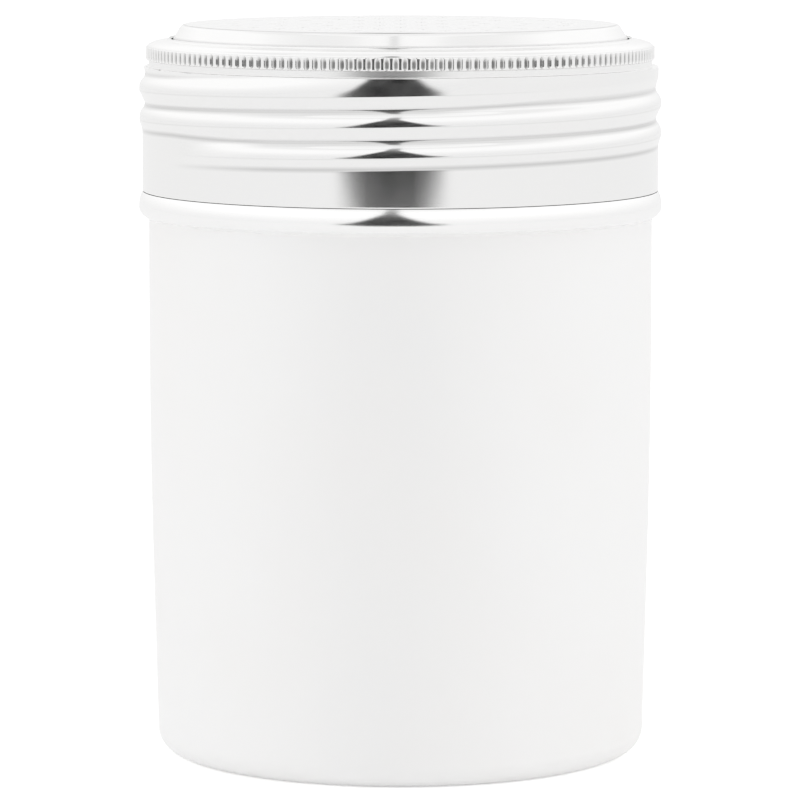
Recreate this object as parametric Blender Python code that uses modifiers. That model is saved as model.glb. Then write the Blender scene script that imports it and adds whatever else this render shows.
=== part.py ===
"""Stainless steel spice shaker: a drawn cup, a threaded ring that screws onto it and a perforated screen.

Units are metres and +Z is up. The origin is the centre of the circle that the cup stands on, and the axis
of every piece is the Z axis. Each piece is pressed from sheet, so each is an open surface made thick.
Heights stack upwards from the floor: body, bead, skirt, thread, recess, knurl, shoulder and crown.
"""

import math

import bmesh
import bpy
from mathutils import Matrix

# Fits between the pieces.
GAP = 0.0003
THREAD_PLAY = 0.0004

# Sheet that the pieces are pressed from.
CUP_SHEET = 0.0005
RING_SHEET = 0.0004
SCREEN_SHEET = 0.0004

# Cup body. Every other radius is counted from the body's.
BODY_RADIUS = 0.03385
BODY_TAPER = 0.00095
BODY_HEIGHT = 0.07214
TAPER_HEIGHT = 0.042
CORNER_RADIUS = 0.0028
FOOT_WIDTH = 0.003
PANEL_RECESS = 0.0008
PANEL_SLOPE_WIDTH = 0.0014

# Bead rolled round the cup, under the ring.
BEAD_HEIGHT = 0.00336
BEAD_FLANK_HEIGHT = 0.00166
BEAD_PROUD = 0.0013

# Lip turned in at the cup's mouth.
LIP_WIDTH = 0.0018
LIP_ROUND = 0.0008

# Screw thread, rolled into the ring's skirt. Shares of the pitch are counted upwards from a crest.
PITCH = 0.00395
THREAD_TURNS = 2.27
THREAD_RISE = 0.0004
THREAD_SINK = 0.0005
START_TURN_SHARE = 0.854
FADE_TURN_SHARE = 0.083
END_MARGIN_SHARE = 0.458
CREASE_SHARE = 0.5625
FLANK_SHARES = (0.0, 0.1875, 0.375, CREASE_SHARE)

# The matching thread on the cup's neck.
NECK_TURNS = 1.75
NECK_LAG_SHARE = 0.104
NECK_LIFT_SHARE = 0.0625
NECK_CREST_HALF_SHARE = 0.0833
NECK_FOOT_HALF_SHARE = 0.25
NECK_MARGIN_SHARE = 0.0625

# Ring.
SKIRT_PROUD = 0.0008
SKIRT_HEIGHT = 0.00398
RECESS_HEIGHT = 0.00093
RECESS_SINK = 0.00015
BAND_SINK = 0.00075
KNURL_HEIGHT = 0.0018
KNURL_DEPTH = 0.0002
KNURL_TEETH = 184
KNURL_EDGE = 0.0001
KNURL_LEDGE = 0.00005
SHOULDER_RISE = 0.0008
SHOULDER_WIDTH = 0.00275
COLLAR_HEIGHT = 0.0003

# Screen.
CROWN_RISE = 0.0021
CROWN_ROUND = 0.0013
CROWN_DRAFT = 0.00025
FLANGE_ROUND = 0.0004

# Holes in the screen: one in the middle and rings round it, each with six holes more than the one inside.
HOLE_RADIUS = 0.00125
HOLE_EDGE_MARGIN = 0.00645
HOLE_RINGS = 4
HOLES_ADDED = 6
HOLE_SIDES = 8

# Facets round each piece, lengths of a quarter round, and the overrun of a cutter past what it cuts.
SEGMENTS = 48
ROUND_STEPS = 3
SMALL_ROUND_STEPS = 2
OVERRUN = 0.001
WELD = 0.000001
SHARP_ANGLE = math.radians(32)

# Heights of the stack.
BEAD_TOP = BODY_HEIGHT + BEAD_HEIGHT
SKIRT_LOW = BEAD_TOP + GAP
THREAD_LOW = SKIRT_LOW + SKIRT_HEIGHT

# One step of the thread is the pitch over the number of facets, so the crest climbs one step a facet.
STEP = PITCH / SEGMENTS


def steps(share):
    """A share of one turn, or of the pitch, as a whole number of steps."""
    return round(share * SEGMENTS)


START_STEP = steps(START_TURN_SHARE)
END_STEP = START_STEP - steps(THREAD_TURNS)
LOW_STEP = END_STEP - steps(END_MARGIN_SHARE)
HIGH_STEP = START_STEP + steps(END_MARGIN_SHARE)
CREASE_STEP = steps(CREASE_SHARE)
FADE_STEPS = steps(FADE_TURN_SHARE)

THREAD_HIGH = THREAD_LOW + (HIGH_STEP - LOW_STEP) * STEP
KNURL_LOW = THREAD_HIGH + RECESS_HEIGHT
KNURL_HIGH = KNURL_LOW + KNURL_HEIGHT
SHOULDER_HIGH = KNURL_HIGH + SHOULDER_RISE
COLLAR_HIGH = SHOULDER_HIGH + COLLAR_HEIGHT
CROWN_TOP = SHOULDER_HIGH + CROWN_RISE
FLANGE_TOP = KNURL_HIGH - GAP
FLANGE_LOW = FLANGE_TOP - SCREEN_SHEET
MOUTH = FLANGE_LOW - GAP

# Radii that follow from the body's and from the fits.
BASE_RADIUS = BODY_RADIUS - BODY_TAPER
BEAD_RADIUS = BODY_RADIUS + BEAD_PROUD
SKIRT_RADIUS = BODY_RADIUS + SKIRT_PROUD
BAND_RADIUS = SKIRT_RADIUS - BAND_SINK
RECESS_RADIUS = BAND_RADIUS - RECESS_SINK
COLLAR_RADIUS = BAND_RADIUS - SHOULDER_WIDTH
NECK_CREST_RADIUS = SKIRT_RADIUS - RING_SHEET - GAP
NECK_ROOT_RADIUS = SKIRT_RADIUS - THREAD_SINK - RING_SHEET - THREAD_PLAY
LIP_RADIUS = RECESS_RADIUS - RING_SHEET - GAP
FLANGE_RADIUS = BAND_RADIUS - RING_SHEET - GAP
CROWN_RADIUS = COLLAR_RADIUS - RING_SHEET - GAP
FLAT_RADIUS = CROWN_RADIUS - CROWN_DRAFT - CROWN_ROUND


def height_of(step):
    """Height of a step of the thread's lattice."""
    return THREAD_LOW + (step - LOW_STEP) * STEP


def between(value, low, high):
    return min(max(value, low), high)


def fade(position, low, high):
    """1 along the thread, running down to 0 over its last facets at either end."""
    rising = between((position - low) / FADE_STEPS, 0, 1)
    falling = between((high - position) / FADE_STEPS, 0, 1)
    return rising * falling


def ring_thread_radius(column, step):
    """Radius of the ring's thread: rounded above each crest, a straight flank under it, a crease between."""
    above = (step - column) % SEGMENTS
    crest_below = step - above
    crest_above = crest_below + SEGMENTS
    if above < CREASE_STEP:
        shape = 1 - (above / CREASE_STEP) ** 2
        crest = fade(crest_below, END_STEP, START_STEP)
    else:
        shape = (above - CREASE_STEP) / (SEGMENTS - CREASE_STEP)
        crest = fade(crest_above, END_STEP, START_STEP)
    crease = fade(crest_above, END_STEP + SEGMENTS, START_STEP)
    return SKIRT_RADIUS + THREAD_RISE * crest * shape - THREAD_SINK * crease * (1 - shape)


def neck_thread_radius(column, step):
    """Radius of the neck's thread: one ridge that lies inside the ring's, with play all round."""
    half_turn = SEGMENTS // 2
    off_ridge = (step - column - steps(NECK_LIFT_SHARE) + half_turn) % SEGMENTS - half_turn
    flank = steps(NECK_FOOT_HALF_SHARE) - steps(NECK_CREST_HALF_SHARE)
    shape = between((steps(NECK_FOOT_HALF_SHARE) - abs(off_ridge)) / flank, 0, 1)
    ridge = step - steps(NECK_LIFT_SHARE) - off_ridge
    start = START_STEP - steps(NECK_LAG_SHARE)
    strength = fade(ridge, start - steps(NECK_TURNS), start)
    return NECK_ROOT_RADIUS + (NECK_CREST_RADIUS - NECK_ROOT_RADIUS) * strength * shape


def plain_row(radius, height):
    """A level circle of the sheet, one place for each column of facets."""
    return [(radius, height)] * (SEGMENTS + 1)


def thread_rows(radius_at, offsets, low, high):
    """Rows that climb one pitch in a turn, held between two levels, where they run out into circles."""
    count = (high - low) // SEGMENTS + 2
    first = low // SEGMENTS - 1
    climbing = [turn * SEGMENTS + offset for turn in range(first, first + count + 1) for offset in offsets]
    inner = sorted(start for start in climbing if low - SEGMENTS < start < high)
    rows = []
    for start in [low - SEGMENTS, *inner, high]:
        places = [between(start + column, low, high) for column in range(SEGMENTS + 1)]
        rows.append([(radius_at(column, place), height_of(place)) for column, place in enumerate(places)])
    return rows


def quarter_round(radius, height, size, start, end, count=ROUND_STEPS):
    """Points on a round of this size about a centre, from one angle to the other in degrees."""
    points = []
    for index in range(count + 1):
        angle = math.radians(start + (end - start) * index / count)
        points.append((radius + size * math.cos(angle), height + size * math.sin(angle)))
    return points


def turned_surface(rows, closed_end):
    """A mesh through rows of places, wrapped round the axis and welded where its edges meet."""
    mesh = bmesh.new()
    bmesh.ops.create_grid(mesh, x_segments=SEGMENTS, y_segments=len(rows) - 1, size=0.5)
    for vertex in mesh.verts:
        column = round((vertex.co.x + 0.5) * SEGMENTS)
        row = round((vertex.co.y + 0.5) * (len(rows) - 1))
        radius, height = rows[row][column]
        angle = math.tau * (column % SEGMENTS) / SEGMENTS
        vertex.co = (radius * math.cos(angle), radius * math.sin(angle), height)
    bmesh.ops.remove_doubles(mesh, verts=mesh.verts, dist=WELD)
    if closed_end is not None:
        end_radius, end_height = rows[closed_end][0]
        rim = [
            edge
            for edge in mesh.edges
            if edge.is_boundary
            and all(abs(v.co.z - end_height) < WELD and v.co.xy.length < end_radius + WELD for v in edge.verts)
        ]
        bmesh.ops.contextual_create(mesh, geom=rim)
    bmesh.ops.recalc_face_normals(mesh, faces=mesh.faces)
    return mesh


def steel(name, colour, roughness):
    """A metal with one colour and one roughness."""
    material = bpy.data.materials.new(name)
    material.use_nodes = True
    shader = material.node_tree.nodes["Principled BSDF"]
    shader.inputs["Base Color"].default_value = (*colour, 1)
    shader.inputs["Roughness"].default_value = roughness
    shader.inputs["Metallic"].default_value = 1
    return material


def add_object(name, mesh, collection, material=None):
    """Turns a bmesh into an object of the collection."""
    data = bpy.data.meshes.new(name)
    mesh.to_mesh(data)
    mesh.free()
    made = bpy.data.objects.new(name, data)
    collection.objects.link(made)
    if material:
        data.materials.append(material)
    return made


def pressed_piece(name, rows, base, sheet, collection, material, closed_end=None):
    """A piece pressed from sheet. Its origin is on the axis at its base, and its rows are heights from the floor."""
    surface = turned_surface(rows, closed_end)
    bmesh.ops.transform(surface, matrix=Matrix.Translation((0, 0, -base)), verts=surface.verts)
    piece = add_object(name, surface, collection, material)
    piece.location.z = base
    shell = piece.modifiers.new("sheet", "SOLIDIFY")
    shell.thickness = sheet
    shell.offset = -1
    shell.use_even_offset = True
    piece.data.shade_smooth()
    piece.data.set_sharp_from_angle(angle=SHARP_ANGLE)
    return piece


def cutter(name, mesh, collection, parent):
    """A helper for a Boolean, which carries the parent's place and isn't part of the shaker."""
    helper = add_object(name, mesh, collection)
    helper.parent = parent
    helper.hide_render = True
    helper.display_type = "WIRE"
    return helper


def join_or_cut(piece, helper, operation):
    boolean = piece.modifiers.new(helper.name, "BOOLEAN")
    boolean.operation = operation
    boolean.solver = "EXACT"
    boolean.object = helper


def make_cup(collection, material):
    """The drawn cup: foot, tapered body, bead, threaded neck and turned-in lip."""
    corner = BASE_RADIUS - CORNER_RADIUS
    foot_inner = corner - FOOT_WIDTH
    outline = [(foot_inner - PANEL_SLOPE_WIDTH, PANEL_RECESS), (foot_inner, 0)]
    outline += quarter_round(corner, CORNER_RADIUS, CORNER_RADIUS, -90, 0)
    outline += [(BODY_RADIUS, TAPER_HEIGHT), (BODY_RADIUS, BODY_HEIGHT)]

    edge = BODY_HEIGHT + BEAD_FLANK_HEIGHT
    crown_height = BEAD_TOP - edge
    crown_width = BEAD_RADIUS - SKIRT_RADIUS
    for index in range(ROUND_STEPS + 1):
        share = index / ROUND_STEPS
        outline.append((BEAD_RADIUS - crown_width * share**2, edge + crown_height * share))
    outline.append((NECK_ROOT_RADIUS, BEAD_TOP))
    rows = [plain_row(*place) for place in outline]

    lift = steps(NECK_LIFT_SHARE)
    foot = steps(NECK_FOOT_HALF_SHARE)
    crest = steps(NECK_CREST_HALF_SHARE)
    start = START_STEP - steps(NECK_LAG_SHARE)
    low = start - steps(NECK_TURNS) + lift - foot - steps(NECK_MARGIN_SHARE)
    high = start + lift + foot + steps(NECK_MARGIN_SHARE)
    rows += thread_rows(neck_thread_radius, (lift - foot, lift - crest, lift + crest, lift + foot), low, high)

    rows.append(plain_row(LIP_RADIUS, THREAD_HIGH))
    rounded = quarter_round(LIP_RADIUS - LIP_ROUND, MOUTH - LIP_ROUND, LIP_ROUND, 0, 90, SMALL_ROUND_STEPS)
    rows += [plain_row(*place) for place in rounded]
    rows.append(plain_row(LIP_RADIUS - LIP_WIDTH, MOUTH))
    return pressed_piece("cup", rows, 0, CUP_SHEET, collection, material, closed_end=0)


def make_knurl(collection, ring):
    """The toothed band that stands on the ring: teeth with points outwards, all of one height."""
    columns = 2 * KNURL_TEETH
    low = KNURL_LOW + KNURL_EDGE - ring.location.z
    high = KNURL_HIGH - KNURL_EDGE - ring.location.z
    inner = BAND_RADIUS - RING_SHEET / 2
    root = BAND_RADIUS + KNURL_LEDGE
    section = [(inner, low), (root, low), (root, high), (inner, high), (inner, low)]
    mesh = bmesh.new()
    bmesh.ops.create_grid(mesh, x_segments=columns, y_segments=len(section) - 1, size=0.5)
    for vertex in mesh.verts:
        column = round((vertex.co.x + 0.5) * columns)
        radius, height = section[round((vertex.co.y + 0.5) * (len(section) - 1))]
        if radius == root and column % 2:
            radius += KNURL_DEPTH
        angle = math.tau * (column % columns) / columns
        vertex.co = (radius * math.cos(angle), radius * math.sin(angle), height)
    bmesh.ops.remove_doubles(mesh, verts=mesh.verts, dist=WELD)
    bmesh.ops.recalc_face_normals(mesh, faces=mesh.faces)
    return cutter("knurl_teeth", mesh, collection, ring)


def make_ring(collection, helpers, material):
    """The screw ring: plain skirt, rolled thread, recess, knurled band, shoulder and collar."""
    rows = [plain_row(SKIRT_RADIUS, SKIRT_LOW)]
    offsets = [steps(share) for share in FLANK_SHARES]
    rows += thread_rows(ring_thread_radius, offsets, LOW_STEP, HIGH_STEP)
    outline = [
        (RECESS_RADIUS, THREAD_HIGH + RECESS_HEIGHT / ROUND_STEPS),
        (RECESS_RADIUS, KNURL_LOW - KNURL_EDGE),
        (BAND_RADIUS, KNURL_LOW),
    ]
    for index in range(ROUND_STEPS + 1):
        angle = math.radians(90) * index / ROUND_STEPS
        radius = COLLAR_RADIUS + SHOULDER_WIDTH * math.cos(angle)
        outline.append((radius, KNURL_HIGH + SHOULDER_RISE * math.sin(angle)))
    outline.append((COLLAR_RADIUS, COLLAR_HIGH))
    rows += [plain_row(*place) for place in outline]
    ring = pressed_piece("lid_ring", rows, SKIRT_LOW, RING_SHEET, collection, material)
    join_or_cut(ring, make_knurl(helpers, ring), "UNION")
    return ring


def make_holes(collection, screen):
    """The cutter for the screen's holes, on rings round the middle."""
    mesh = bmesh.new()
    depth = SCREEN_SHEET + 2 * OVERRUN
    height = CROWN_TOP - SCREEN_SHEET / 2 - screen.location.z
    for ring in range(HOLE_RINGS + 1):
        count = max(1, HOLES_ADDED * ring)
        for index in range(count):
            angle = math.tau * index / count
            radius = (FLAT_RADIUS - HOLE_EDGE_MARGIN) * ring / HOLE_RINGS
            place = Matrix.Translation((radius * math.cos(angle), radius * math.sin(angle), height))
            bmesh.ops.create_cone(
                mesh,
                cap_ends=True,
                segments=HOLE_SIDES,
                radius1=HOLE_RADIUS,
                radius2=HOLE_RADIUS,
                depth=depth,
                matrix=place @ Matrix.Rotation(angle, 4, "Z"),
            )
    return cutter("shaker_holes", mesh, collection, screen)


def make_screen(collection, helpers, material):
    """The perforated screen: a flat flange under the ring's shoulder and a crown that stands up through it."""
    outline = [(FLANGE_RADIUS, FLANGE_TOP)]
    foot = (CROWN_RADIUS + FLANGE_ROUND, FLANGE_TOP + FLANGE_ROUND)
    outline += quarter_round(*foot, FLANGE_ROUND, 270, 180, SMALL_ROUND_STEPS)
    outline.append((CROWN_RADIUS, COLLAR_HIGH))
    outline += quarter_round(FLAT_RADIUS, CROWN_TOP - CROWN_ROUND, CROWN_ROUND, 0, 90)
    rows = [plain_row(*place) for place in outline]
    screen = pressed_piece(
        "shaker_screen", rows, FLANGE_LOW, SCREEN_SHEET, collection, material, closed_end=len(rows) - 1
    )
    join_or_cut(screen, make_holes(helpers, screen), "DIFFERENCE")
    return screen


def main():
    for old in list(bpy.data.objects):
        bpy.data.objects.remove(old)
    parts = bpy.data.collections.new("spice_shaker")
    helpers = bpy.data.collections.new("cutters")
    for collection in (parts, helpers):
        bpy.context.scene.collection.children.link(collection)

    satin = steel("satin_steel", (0.80, 0.80, 0.79), 0.38)
    polished = steel("polished_steel", (0.84, 0.84, 0.83), 0.12)
    cup = make_cup(parts, satin)
    screen = make_screen(parts, helpers, polished)
    ring = make_ring(parts, helpers, polished)

    axis = bpy.data.objects.new("shaker_axis", None)
    parts.objects.link(axis)
    cup.parent = axis
    screen.parent = axis
    ring.parent = screen
    ring.location.z -= screen.location.z


main()
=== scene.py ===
"""Looks of a stainless steel spice shaker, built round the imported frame.

The cup, the screw ring and the screen each stand for their node of the frame, as finer sheets of the same
forms, and the studio round them is a pale floor, a white surround and a dark opening that bright metal shows.
"""

import logging
import math
from collections.abc import Callable, Sequence
from dataclasses import dataclass, field
from enum import Enum
from functools import partial
from typing import Union

import bmesh
import bpy
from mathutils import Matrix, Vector


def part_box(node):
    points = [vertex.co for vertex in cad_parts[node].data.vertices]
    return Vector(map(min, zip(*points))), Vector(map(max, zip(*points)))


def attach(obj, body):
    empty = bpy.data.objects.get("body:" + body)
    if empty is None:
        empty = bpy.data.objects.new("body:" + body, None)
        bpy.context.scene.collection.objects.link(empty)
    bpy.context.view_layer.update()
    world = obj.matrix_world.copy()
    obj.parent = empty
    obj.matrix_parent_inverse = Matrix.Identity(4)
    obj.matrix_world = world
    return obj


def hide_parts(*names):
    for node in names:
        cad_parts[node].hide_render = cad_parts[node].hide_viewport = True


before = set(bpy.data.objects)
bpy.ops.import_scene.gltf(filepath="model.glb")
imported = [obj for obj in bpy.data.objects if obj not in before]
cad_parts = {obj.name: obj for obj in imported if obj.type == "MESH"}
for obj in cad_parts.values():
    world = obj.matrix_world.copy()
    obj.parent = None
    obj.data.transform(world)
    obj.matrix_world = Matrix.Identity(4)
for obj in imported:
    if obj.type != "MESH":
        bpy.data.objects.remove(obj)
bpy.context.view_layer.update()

log = logging.getLogger("spice_shaker")

Place = tuple[float, float]
Row = list[Place]
Colour = tuple[float, float, float]

WELD = 0.000001
WIDE_SUPPORT = 0.00015
CLOSE_SUPPORT = 0.00008
SMOOTH_BELOW = math.radians(55)
STEEL: Colour = (0.93, 0.929, 0.927)
SATIN_STEEL: Colour = (0.98, 0.979, 0.978)
# Grey of the painted shade in creases, flutes and seams, and of the painted dark line round the screen's rim.
PAINTED_SHADE_GREY: Colour = (0.03, 0.029, 0.027)


def held(share: float) -> float:
    """The share, held between 0 and 1."""
    return min(max(share, 0.0), 1.0)


def eased(share: float) -> float:
    """The share, held between 0 and 1 and easing at both of its ends."""
    share = held(share)
    return share * share * (3 - 2 * share)


class Body(Enum):
    """Bodies of the frame that the pieces ride on."""

    CUP = "cup_body"
    SCREEN = "screen_body"
    RING = "ring_body"


class Grain(Enum):
    """How the polishing lines of a finish lie."""

    ROUND_THE_WALL = "round_the_wall"
    ROUND_THE_TOP = "round_the_top"


class Value:
    """A shader socket that takes part in Python arithmetic and adds its Math nodes as it goes."""

    def __init__(self, graph: "Graph", socket: bpy.types.NodeSocket) -> None:
        """Wraps a socket of a graph.

        Args:
            graph: the graph that the Math nodes are added to.
            socket: the output socket that is wrapped.
        """
        self.graph = graph
        self.socket = socket

    def _math(self, operation: str, first: "Operand", second: "Operand") -> "Value":
        """A Math node of two operands."""
        return self.graph.math(operation, first, second)

    def __add__(self, other: "Operand") -> "Value":
        """Sum."""
        return self._math("ADD", self, other)

    __radd__ = __add__

    def __sub__(self, other: "Operand") -> "Value":
        """Difference."""
        return self._math("SUBTRACT", self, other)

    def __rsub__(self, other: "Operand") -> "Value":
        """Difference, with the value on the right."""
        return self._math("SUBTRACT", other, self)

    def __mul__(self, other: "Operand") -> "Value":
        """Product."""
        return self._math("MULTIPLY", self, other)

    __rmul__ = __mul__

    def __truediv__(self, other: "Operand") -> "Value":
        """Quotient."""
        return self._math("DIVIDE", self, other)

    def __pow__(self, other: "Operand") -> "Value":
        """Power."""
        return self._math("POWER", self, other)


Operand = Union[Value, float]
Tone = Union[Value, float, Colour]


class Graph:
    """The nodes of one material or world."""

    def __init__(self, tree: bpy.types.NodeTree) -> None:
        """Empties a node tree, ready to be filled.

        Args:
            tree: the tree of a material or of the world.
        """
        self.tree = tree
        tree.nodes.clear()

    def node(
        self, kind: str, settings: dict | None = None, inputs: dict | None = None, output: int | str = 0
    ) -> Value:
        """Adds a node, with its settings first and then the values or links of its sockets.

        Args:
            kind: the node's type.
            settings: properties of the node, or a list of (position, colour) as stops for a colour ramp.
            inputs: socket name or number to a number, a tuple or a Value to link.
            output: the socket that is returned.

        Returns:
            The chosen output, wrapped.
        """
        made = self.tree.nodes.new(kind)
        for name, setting in (settings or {}).items():
            if name == "stops":
                self._set_stops(made.color_ramp, setting)
            else:
                setattr(made, name, setting)
        for name, value in (inputs or {}).items():
            if isinstance(value, Value):
                self.tree.links.new(value.socket, made.inputs[name])
            else:
                made.inputs[name].default_value = value
        return Value(self, made.outputs[output]) if made.outputs else Value(self, None)

    @staticmethod
    def _set_stops(ramp: bpy.types.ColorRamp, stops: Sequence[tuple[float, float]]) -> None:
        """Gives a colour ramp its grey stops.

        Args:
            ramp: the ramp.
            stops: (position, grey) of each stop.
        """
        while len(ramp.elements) > 1:
            ramp.elements.remove(ramp.elements[-1])
        for index, (position, grey) in enumerate(stops):
            element = ramp.elements[0] if index == 0 else ramp.elements.new(position)
            element.position = position
            element.color = (grey, grey, grey, 1)

    def noise(self, vector: Value, scale: float, detail: float = 2.0, roughness: float = 0.5) -> Value:
        """Noise of one scale, from 0 to 1.

        Args:
            vector: the place in the noise.
            scale: features to the metre.
            detail: octaves.
            roughness: share of the finer octaves.

        Returns:
            The noise's factor.
        """
        inputs = {"Vector": vector, "Scale": scale, "Detail": detail, "Roughness": roughness}
        return self.node("ShaderNodeTexNoise", {}, inputs)

    def math(self, operation: str, first: "Operand", second: "Operand" = 0.0) -> Value:
        """A Math node by name, for the operations that have no sign."""
        return self.node("ShaderNodeMath", {"operation": operation}, {0: first, 1: second})

    def mix(self, factor: Value, first: Tone, second: Tone) -> Value:
        """Mixes two colours.

        Args:
            factor: share of the second.
            first: a grey level, a colour, or a Value to link.
            second: the same.

        Returns:
            The mixed colour.
        """
        sides = [(side, side, side) if isinstance(side, float) else side for side in (first, second)]
        first, second = (side if isinstance(side, Value) else (*side, 1) for side in sides)
        return self.node("ShaderNodeMix", {"data_type": "RGBA"}, {"Factor": factor, 6: first, 7: second}, 2)

    def remap(self, value: Value, low: float, high: float, to_low: float, to_high: float) -> Value:
        """The value moved from one range to another and held inside it.

        Args:
            value: the value.
            low: start of its range.
            high: end of its range.
            to_low: start of the new range.
            to_high: end of the new range.

        Returns:
            The moved value.
        """
        inputs = {0: value, 1: low, 2: high, 3: to_low, 4: to_high}
        return self.node("ShaderNodeMapRange", {"clamp": True}, inputs)

    def above(self, value: Value, limit: float, edge: float) -> Value:
        """0 up to a limit, and 1 from an edge above it."""
        return self.remap(value, limit, limit + edge, 0.0, 1.0)

    def between(self, value: Value, low: float, high: float, edge: float) -> Value:
        """1 between two limits, and 0 outside them, with an edge inside each."""
        return self.above(value, low, edge) * self.remap(value, high - edge, high, 1.0, 0.0)

    def ray(self, kind: str) -> Value:
        """1 for rays of one kind, by the name that the Light Path node gives it."""
        return self.node("ShaderNodeLightPath", {}, {}, kind)


def new_material(name: str) -> tuple[bpy.types.Material, Graph]:
    """Adds a material.

    Args:
        name: its name.

    Returns:
        The material and its empty graph.
    """
    made = bpy.data.materials.new(name)
    made.use_nodes = True
    return made, Graph(made.node_tree)


@dataclass(frozen=True)
class ThreadPaintedShade:
    """Painted shade along the creases and, thinner and fainter, along the crests of a thread that climbs round
    the axis.
    """

    base: float
    pitch: float
    start: float
    end: float
    fade: float
    crease: float = 0.5
    foot: float = 0.65
    crease_half: float = 0.12
    crest_half: float = 0.035
    # Strengths of the painted shade in the creases and along the crests.
    crease_shade: float = 0.3
    crest_shade: float = 0.1

    def mask(self, graph: Graph, across: Value, along: Value, height: Value) -> Value:
        """Strength of the painted shade at a place.

        Args:
            graph: the nodes that the mask is added to.
            across: first coordinate of the place.
            along: second coordinate.
            height: third coordinate.

        Returns:
            The strength, from 0 to 1.
        """
        turn = graph.math("FRACT", graph.math("ARCTAN2", along, across) / math.tau + 1.0)
        climbed = (height - self.base) / self.pitch - turn
        share = graph.math("FRACT", climbed + 9.0)
        above = turn + graph.math("FLOOR", climbed) + 1.0
        nearest = turn + graph.math("FLOOR", climbed + 0.5)
        full = graph.between(above, self.end, self.start, self.fade)
        both = graph.between(above, self.end + 1, self.start, self.fade)
        centre = both * (self.crease - self.foot) + self.foot
        crease = graph.remap(graph.math("ABSOLUTE", share - centre), 0.0, self.crease_half, 1.0, 0.0) * full
        off_crest = 0.5 - graph.math("ABSOLUTE", share - 0.5)
        crest = graph.remap(off_crest, 0.0, self.crest_half, 1.0, 0.0)
        crest = crest * graph.between(nearest, self.end, self.start, self.fade)
        return crease * self.crease_shade + crest * self.crest_shade


@dataclass(frozen=True)
class SteelFinish:
    """Stainless steel with polishing lines, smears and a few fine scratches, and where asked for painted shade:
    in hollows, along a thread's creases and crests, and as a dark line round a rim.
    """

    name: str
    colour: Colour
    roughness: float
    grain: Grain
    line_depth: float
    smear: float = 0.04
    tint: Colour = (1.0, 0.996, 0.992)
    line_scale: float = 9000.0
    long_scale: float = 60.0
    smear_scale: float = 45.0
    scratch_scale: float = 260.0
    # Painted shade in hollows: its strength, the radii and heights below which it lies, how much is left above
    # those heights, and the roughness it adds.
    painted_shade: float = 0.0
    shade_radii: Place = (0.03382, 0.03406)
    shade_heights: Place = (0.0944, 0.0952)
    shade_fade: float = 0.45
    shade_roughness: float = 0.2
    bright_from: float = 0.0
    bright_edge: float = 0.0002
    bright_roughness: float = 0.12
    matt_heights: Place | None = None
    matt_roughness: float = 0.25
    matt_edge: float = 0.00004
    # Painted shade: a dark line round a rim at (radius, height), with its edges and strength.
    rim: Place | None = None
    rim_edge: Place = (0.00002, 0.00006)
    rim_shade_strength: float = 0.22
    smear_relief: float = 0.6
    # Painted shade along a thread's creases and crests.
    thread_shade: ThreadPaintedShade | None = None

    def material(self) -> bpy.types.Material:
        """Builds the finish.

        Returns:
            The material.
        """
        made, graph = new_material(self.name)
        place = graph.node("ShaderNodeTexCoord", {}, {}, "Object")
        split = graph.node("ShaderNodeSeparateXYZ", {}, {0: place})
        across, along, height = (Value(graph, socket) for socket in split.socket.node.outputs)
        radius = (across * across + along * along) ** 0.5
        level = height if self.grain is Grain.ROUND_THE_WALL else radius
        parts = {0: across * self.long_scale, 1: along * self.long_scale, 2: level * self.line_scale}
        stretched = graph.node("ShaderNodeCombineXYZ", {}, parts)
        lines = graph.noise(stretched, 1.0, detail=3.0, roughness=0.6)
        smears = graph.noise(place, self.smear_scale, detail=3.0, roughness=0.55)
        blots = graph.noise(place, self.scratch_scale)
        rough = graph.remap(smears, 0.35, 0.7, self.roughness - self.smear, self.roughness + self.smear)
        rough = rough + (blots - 0.5) * (0.5 * self.smear)
        tinted = tuple(part * tone for part, tone in zip(self.colour, self.tint))
        base = graph.mix(graph.remap(smears, 0.3, 0.75, 0.0, 1.0), self.colour, tinted)
        if self.bright_from:
            bright = graph.above(height, self.bright_from, self.bright_edge)
            rough = rough * (1 - bright) + bright * self.bright_roughness
        if self.matt_heights:
            matt = graph.between(height, *self.matt_heights, self.matt_edge)
            rough = rough * (1 - matt) + matt * self.matt_roughness
        # Painted shade: darker and rougher inside a radius and below a height, standing for the shade in
        # creases, recesses, flutes and seams.
        if self.painted_shade:
            shaded = graph.remap(radius, *self.shade_radii, 1.0, 0.0)
            shaded = shaded * graph.remap(height, *self.shade_heights, 1.0, self.shade_fade)
            base = graph.mix(shaded * self.painted_shade, base, PAINTED_SHADE_GREY)
            rough = rough + shaded * self.shade_roughness
        # Painted shade along the thread's creases and crests.
        if self.thread_shade:
            base = graph.mix(self.thread_shade.mask(graph, across, along, height), base, PAINTED_SHADE_GREY)
        # Painted shade: a dark line round the rim of the flat top.
        if self.rim:
            rim = graph.above(height, self.rim[1], self.rim_edge[1])
            rim = rim * graph.above(radius, self.rim[0], self.rim_edge[0])
            base = graph.mix(rim * self.rim_shade_strength, base, PAINTED_SHADE_GREY)
        relief = {"Strength": 1.0, "Distance": self.line_depth, "Height": lines + smears * self.smear_relief}
        bump = graph.node("ShaderNodeBump", {}, relief)
        surface = {"Base Color": base, "Roughness": rough, "Metallic": 1.0, "Normal": bump}
        shader = graph.node("ShaderNodeBsdfPrincipled", {}, surface)
        graph.node("ShaderNodeOutputMaterial", {}, {"Surface": shader})
        return made


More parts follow.
